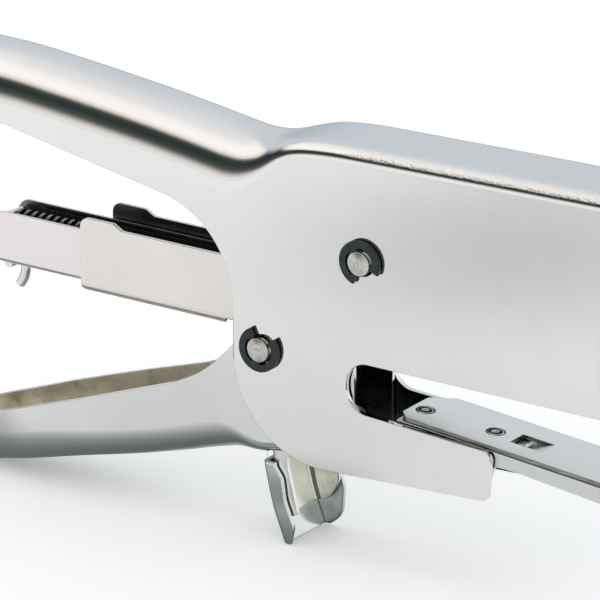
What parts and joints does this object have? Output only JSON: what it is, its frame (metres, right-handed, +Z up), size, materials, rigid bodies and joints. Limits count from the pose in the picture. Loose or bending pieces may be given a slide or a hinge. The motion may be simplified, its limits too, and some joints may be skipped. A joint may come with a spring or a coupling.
{
  "type": "plier stapler",
  "caption": "Hand-squeezed plier stapler in nickel-plated steel, with a long throat, a fixed anvil arm, a pivoting magazine and a staple drawer that slides out at the rear.",
  "frame": {"origin": "under the middle of the whole object's box, level with its lowest point", "axes": "+X forward to the nose along the magazine, +Y along the pivot pins, +Z up with the handles open"},
  "size_m": [0.1966, 0.0248, 0.1055],
  "materials": {
    "nickel_plate": "nickel-plated pressed steel, smooth with a soft orange-peel gloss",
    "bright_strip": "bright nickel-plated steel strip",
    "satin_plate": "fine satin steel plate",
    "turned_steel": "turned steel with fine lathe rings",
    "blackened_steel": "oil-blackened spring steel",
    "hardened_steel": "hardened ground steel",
    "spring_wire": "drawn spring wire"
  },
  "bodies": {
    "frame": {"body_shell": "nickel_plate", "upper_pivot_pin": "turned_steel", "lower_pivot_pin": "turned_steel", "upper_clip_near": "blackened_steel", "upper_clip_far": "blackened_steel", "lower_clip_near": "blackened_steel", "lower_clip_far": "blackened_steel", "anvil_arm": "nickel_plate", "anvil_cover_plate": "satin_plate", "cover_rivet_rear": "turned_steel", "cover_rivet_front": "turned_steel", "anvil_die": "hardened_steel"},
    "lever": {"lower_handle": "nickel_plate", "finger_guard": "nickel_plate", "guard_bracket": "bright_strip", "guard_rivet_rear": "turned_steel", "guard_rivet_front": "turned_steel", "spring_pin": "turned_steel", "pivot_bush": "turned_steel", "handle_return_spring": "spring_wire"},
    "magazine": {"magazine_channel": "bright_strip", "magazine_head": "hardened_steel", "nose_front_plate": "bright_strip"},
    "driver": {"driver_blade": "hardened_steel", "driver_yoke": "hardened_steel", "driver_cross_pin": "turned_steel"},
    "drawer": {"drawer_channel": "bright_strip", "drawer_end_stop": "bright_strip", "spring_guide_rod": "turned_steel", "release_hook": "bright_strip", "spring_rail": "blackened_steel", "pusher_spring": "spring_wire"},
    "pusher": {"pusher": "hardened_steel"}
  },
  "joints": [
    {"name": "lever", "type": "hinge", "parent": "frame", "child": "lever", "pos_m": [0.02375, 0, 0.0742], "axis": [0, 1, 0], "range_deg": [0, 21.5], "stiffness_Nm_per_rad": 0.6, "springref_deg": -28.65},
    {"name": "magazine_swing", "type": "hinge", "parent": "frame", "child": "magazine", "pos_m": [-0.00375, 0, 0.04785], "axis": [0, 1, 0], "range_deg": [0, 5.1]},
    {"name": "driver_slide", "type": "slide", "parent": "magazine", "child": "driver", "axis": [0, 0, -1], "range_m": [0, 0.0178]},
    {"name": "drawer_slide", "type": "slide", "parent": "magazine", "child": "drawer", "axis": [-1, 0, 0], "range_m": [0, 0.09]},
    {"name": "pusher_slide", "type": "slide", "parent": "drawer", "child": "pusher", "axis": [-1, 0, 0], "range_m": [0, 0.07], "stiffness_N_per_m": 30, "springref_m": -0.03, "deforming": ["pusher_spring"]}
  ],
  "couplings": [
    {"joint": "magazine_swing", "follows": "lever", "ratio": 0.2325},
    {"joint": "driver_slide", "follows": "lever", "m_per_rad": 0.0469}
  ]
}
